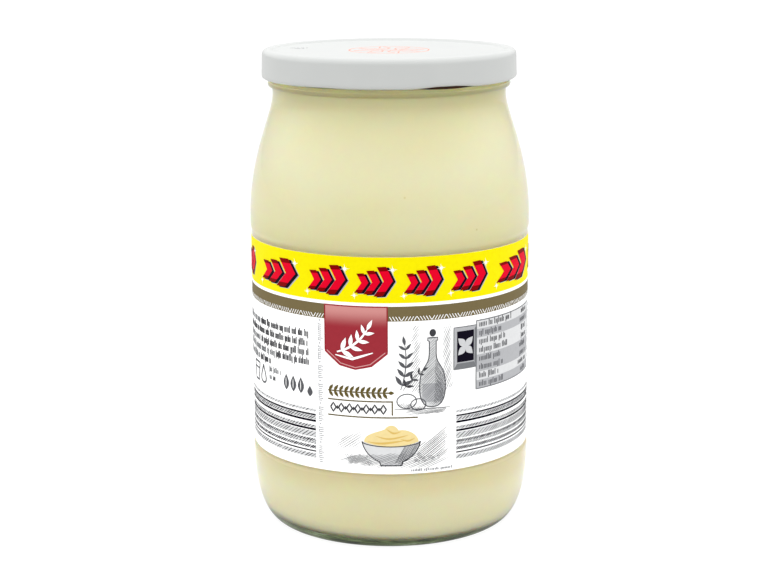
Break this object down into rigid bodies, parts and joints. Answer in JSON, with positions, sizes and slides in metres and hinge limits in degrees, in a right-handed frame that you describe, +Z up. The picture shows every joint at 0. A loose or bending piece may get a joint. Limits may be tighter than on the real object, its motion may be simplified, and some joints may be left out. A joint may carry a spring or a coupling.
{
  "type": "mayonnaise jar",
  "caption": "Round clear glass grocery jar filled with pale mayonnaise, with a white twist-off lid and a wrap-round paper label.",
  "frame": {"origin": "middle of the jar's underside, on the surface it stands on", "axes": "+Z up along the jar's axis, -Y towards the front of the label"},
  "size_m": [0.0956, 0.0956, 0.162],
  "materials": {
    "clear_glass": "clear with a faint green tint, glossy",
    "mayonnaise": "smooth opaque pale yellow cream",
    "white_enamel": "semi-gloss white enamel on thin tinplate",
    "printed_paper": "smooth coated paper, yellow upper band on white"
  },
  "bodies": {
    "root": {"glass_jar": "clear_glass", "mayonnaise": "mayonnaise", "lid": "white_enamel", "label": "printed_paper"}
  },
  "joints": []
}
